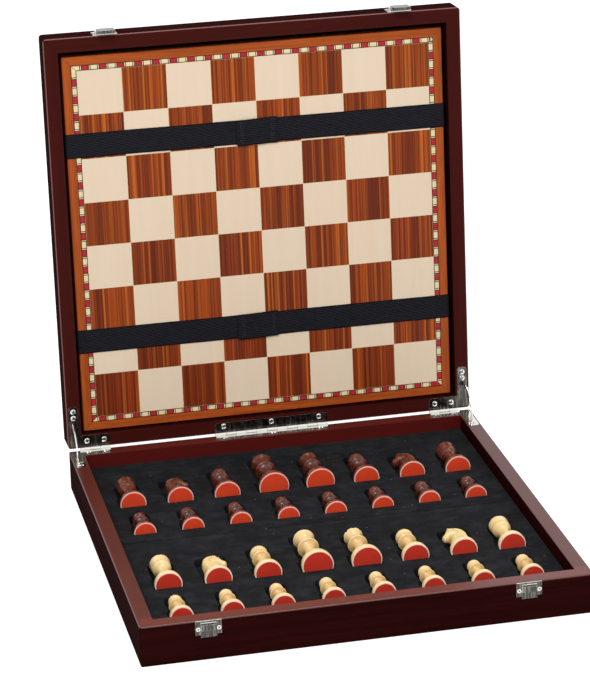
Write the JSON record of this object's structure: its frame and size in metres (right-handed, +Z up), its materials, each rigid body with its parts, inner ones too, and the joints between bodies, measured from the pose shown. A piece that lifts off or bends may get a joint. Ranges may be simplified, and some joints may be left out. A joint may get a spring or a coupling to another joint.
{
  "type": "chess box with hinged lid",
  "caption": "Wooden box with a hinged lid that carries a chess board under elastic bands, and velvet panels with recesses for the chess pieces.",
  "frame": {"origin": "centre of the base's footprint, on the table", "axes": "+X to the right seen from the front, +Y from the front to the hinges, +Z up; the lid stands open at the back"},
  "size_m": [0.38, 0.4357, 0.4222],
  "materials": {
    "mahogany": "stained dark red-brown, satin lacquer",
    "board_veneer": "veneered squares and inlay, satin",
    "rosewood": "turned and polished, felt on the foot",
    "boxwood": "turned and polished, felt on the foot",
    "velvet": "short pile",
    "elastic": "ribbed woven elastic",
    "nickel": "nickel plated sheet",
    "screw": "nickel plated"
  },
  "bodies": {
    "base": {"base_walls": "mahogany", "base_floor": "mahogany", "insert_front": "velvet", "insert_rear": "velvet", "centre_leaf_base": "nickel", "corner_leaf_base_left": "nickel", "corner_leaf_base_right": "nickel", "hinge_pins": "nickel", "screws_base": "screw", "latch_keeper_left": "nickel", "latch_keeper_right": "nickel"},
    "lid": {"lid_walls": "mahogany", "lid_panel": "mahogany", "lid_lining": "velvet", "strap_front_half": "elastic", "strap_hinge_half": "elastic", "centre_leaf_lid": "nickel", "corner_leaf_lid_left": "nickel", "corner_leaf_lid_right": "nickel", "screws_lid": "screw", "latch_plate_left": "nickel", "latch_plate_right": "nickel", "latch_pins": "nickel"},
    "board": {"board": "board_veneer"},
    "stay_left": {"stay_left": "nickel"},
    "stay_right": {"stay_right": "nickel"},
    "latch_lever_left": {"latch_lever_left": "nickel"},
    "latch_lever_right": {"latch_lever_right": "nickel"},
    "dark_rook_left": {"dark_rook_left": "rosewood"},
    "dark_knight_left": {"dark_knight_left": "rosewood"},
    "dark_bishop_left": {"dark_bishop_left": "rosewood"},
    "dark_king": {"dark_king": "rosewood"},
    "dark_queen": {"dark_queen": "rosewood"},
    "dark_bishop_right": {"dark_bishop_right": "rosewood"},
    "dark_knight_right": {"dark_knight_right": "rosewood"},
    "dark_rook_right": {"dark_rook_right": "rosewood"},
    "dark_pawn_1": {"dark_pawn_1": "rosewood"},
    "dark_pawn_2": {"dark_pawn_2": "rosewood"},
    "dark_pawn_3": {"dark_pawn_3": "rosewood"},
    "dark_pawn_4": {"dark_pawn_4": "rosewood"},
    "dark_pawn_5": {"dark_pawn_5": "rosewood"},
    "dark_pawn_6": {"dark_pawn_6": "rosewood"},
    "dark_pawn_7": {"dark_pawn_7": "rosewood"},
    "dark_pawn_8": {"dark_pawn_8": "rosewood"},
    "light_rook_left": {"light_rook_left": "boxwood"},
    "light_knight_left": {"light_knight_left": "boxwood"},
    "light_bishop_left": {"light_bishop_left": "boxwood"},
    "light_king": {"light_king": "boxwood"},
    "light_queen": {"light_queen": "boxwood"},
    "light_bishop_right": {"light_bishop_right": "boxwood"},
    "light_knight_right": {"light_knight_right": "boxwood"},
    "light_rook_right": {"light_rook_right": "boxwood"},
    "light_pawn_1": {"light_pawn_1": "boxwood"},
    "light_pawn_2": {"light_pawn_2": "boxwood"},
    "light_pawn_3": {"light_pawn_3": "boxwood"},
    "light_pawn_4": {"light_pawn_4": "boxwood"},
    "light_pawn_5": {"light_pawn_5": "boxwood"},
    "light_pawn_6": {"light_pawn_6": "boxwood"},
    "light_pawn_7": {"light_pawn_7": "boxwood"},
    "light_pawn_8": {"light_pawn_8": "boxwood"}
  },
  "joints": [
    {"name": "lid_hinge", "type": "hinge", "parent": "base", "child": "lid", "pos_m": [0, 0.1907, 0.036], "axis": [-1, 0, 0], "range_deg": [-94.05, 0]},
    {"name": "stay_left_slide", "type": "hinge", "parent": "base", "child": "stay_left", "pos_m": [0, 0.1907, 0.036], "axis": [-1, 0, 0], "range_deg": [-47.12, 0]},
    {"name": "stay_right_slide", "type": "hinge", "parent": "base", "child": "stay_right", "pos_m": [0, 0.1907, 0.036], "axis": [-1, 0, 0], "range_deg": [-47.12, 0]},
    {"name": "board_pull", "type": "slide", "parent": "lid", "child": "board", "axis": [0, -0.9977, 0.068], "range_m": [0, 0.02], "stiffness_N_per_m": 1500, "springref_m": -0.01, "deforming": ["strap_front_half", "strap_hinge_half"]},
    {"name": "latch_left_swing", "type": "hinge", "parent": "lid", "child": "latch_lever_left", "pos_m": [-0.134, 0.22138, 0.4184], "axis": [-1, 0, 0], "range_deg": [-4.7, 75], "stiffness_Nm_per_rad": 0.02},
    {"name": "latch_right_swing", "type": "hinge", "parent": "lid", "child": "latch_lever_right", "pos_m": [0.134, 0.22138, 0.4184], "axis": [-1, 0, 0], "range_deg": [-4.7, 75], "stiffness_Nm_per_rad": 0.02},
    {"name": "dark_rook_left_lift", "type": "slide", "parent": "base", "child": "dark_rook_left", "axis": [0, 0, 1], "range_m": [0, 0.045]},
    {"name": "dark_knight_left_lift", "type": "slide", "parent": "base", "child": "dark_knight_left", "axis": [0, 0, 1], "range_m": [0, 0.045]},
    {"name": "dark_bishop_left_lift", "type": "slide", "parent": "base", "child": "dark_bishop_left", "axis": [0, 0, 1], "range_m": [0, 0.045]},
    {"name": "dark_king_lift", "type": "slide", "parent": "base", "child": "dark_king", "axis": [0, 0, 1], "range_m": [0, 0.045]},
    {"name": "dark_queen_lift", "type": "slide", "parent": "base", "child": "dark_queen", "axis": [0, 0, 1], "range_m": [0, 0.045]},
    {"name": "dark_bishop_right_lift", "type": "slide", "parent": "base", "child": "dark_bishop_right", "axis": [0, 0, 1], "range_m": [0, 0.045]},
    {"name": "dark_knight_right_lift", "type": "slide", "parent": "base", "child": "dark_knight_right", "axis": [0, 0, 1], "range_m": [0, 0.045]},
    {"name": "dark_rook_right_lift", "type": "slide", "parent": "base", "child": "dark_rook_right", "axis": [0, 0, 1], "range_m": [0, 0.045]},
    {"name": "dark_pawn_1_lift", "type": "slide", "parent": "base", "child": "dark_pawn_1", "axis": [0, 0, 1], "range_m": [0, 0.045]},
    {"name": "dark_pawn_2_lift", "type": "slide", "parent": "base", "child": "dark_pawn_2", "axis": [0, 0, 1], "range_m": [0, 0.045]},
    {"name": "dark_pawn_3_lift", "type": "slide", "parent": "base", "child": "dark_pawn_3", "axis": [0, 0, 1], "range_m": [0, 0.045]},
    {"name": "dark_pawn_4_lift", "type": "slide", "parent": "base", "child": "dark_pawn_4", "axis": [0, 0, 1], "range_m": [0, 0.045]},
    {"name": "dark_pawn_5_lift", "type": "slide", "parent": "base", "child": "dark_pawn_5", "axis": [0, 0, 1], "range_m": [0, 0.045]},
    {"name": "dark_pawn_6_lift", "type": "slide", "parent": "base", "child": "dark_pawn_6", "axis": [0, 0, 1], "range_m": [0, 0.045]},
    {"name": "dark_pawn_7_lift", "type": "slide", "parent": "base", "child": "dark_pawn_7", "axis": [0, 0, 1], "range_m": [0, 0.045]},
    {"name": "dark_pawn_8_lift", "type": "slide", "parent": "base", "child": "dark_pawn_8", "axis": [0, 0, 1], "range_m": [0, 0.045]},
    {"name": "light_rook_left_lift", "type": "slide", "parent": "base", "child": "light_rook_left", "axis": [0, 0, 1], "range_m": [0, 0.045]},
    {"name": "light_knight_left_lift", "type": "slide", "parent": "base", "child": "light_knight_left", "axis": [0, 0, 1], "range_m": [0, 0.045]},
    {"name": "light_bishop_left_lift", "type": "slide", "parent": "base", "child": "light_bishop_left", "axis": [0, 0, 1], "range_m": [0, 0.045]},
    {"name": "light_king_lift", "type": "slide", "parent": "base", "child": "light_king", "axis": [0, 0, 1], "range_m": [0, 0.045]},
    {"name": "light_queen_lift", "type": "slide", "parent": "base", "child": "light_queen", "axis": [0, 0, 1], "range_m": [0, 0.045]},
    {"name": "light_bishop_right_lift", "type": "slide", "parent": "base", "child": "light_bishop_right", "axis": [0, 0, 1], "range_m": [0, 0.045]},
    {"name": "light_knight_right_lift", "type": "slide", "parent": "base", "child": "light_knight_right", "axis": [0, 0, 1], "range_m": [0, 0.045]},
    {"name": "light_rook_right_lift", "type": "slide", "parent": "base", "child": "light_rook_right", "axis": [0, 0, 1], "range_m": [0, 0.045]},
    {"name": "light_pawn_1_lift", "type": "slide", "parent": "base", "child": "light_pawn_1", "axis": [0, 0, 1], "range_m": [0, 0.045]},
    {"name": "light_pawn_2_lift", "type": "slide", "parent": "base", "child": "light_pawn_2", "axis": [0, 0, 1], "range_m": [0, 0.045]},
    {"name": "light_pawn_3_lift", "type": "slide", "parent": "base", "child": "light_pawn_3", "axis": [0, 0, 1], "range_m": [0, 0.045]},
    {"name": "light_pawn_4_lift", "type": "slide", "parent": "base", "child": "light_pawn_4", "axis": [0, 0, 1], "range_m": [0, 0.045]},
    {"name": "light_pawn_5_lift", "type": "slide", "parent": "base", "child": "light_pawn_5", "axis": [0, 0, 1], "range_m": [0, 0.045]},
    {"name": "light_pawn_6_lift", "type": "slide", "parent": "base", "child": "light_pawn_6", "axis": [0, 0, 1], "range_m": [0, 0.045]},
    {"name": "light_pawn_7_lift", "type": "slide", "parent": "base", "child": "light_pawn_7", "axis": [0, 0, 1], "range_m": [0, 0.045]},
    {"name": "light_pawn_8_lift", "type": "slide", "parent": "base", "child": "light_pawn_8", "axis": [0, 0, 1], "range_m": [0, 0.045]}
  ],
  "couplings": [
    {"joint": "stay_left_slide", "follows": "lid_hinge", "ratio": 0.5},
    {"joint": "stay_right_slide", "follows": "lid_hinge", "ratio": 0.5}
  ]
}
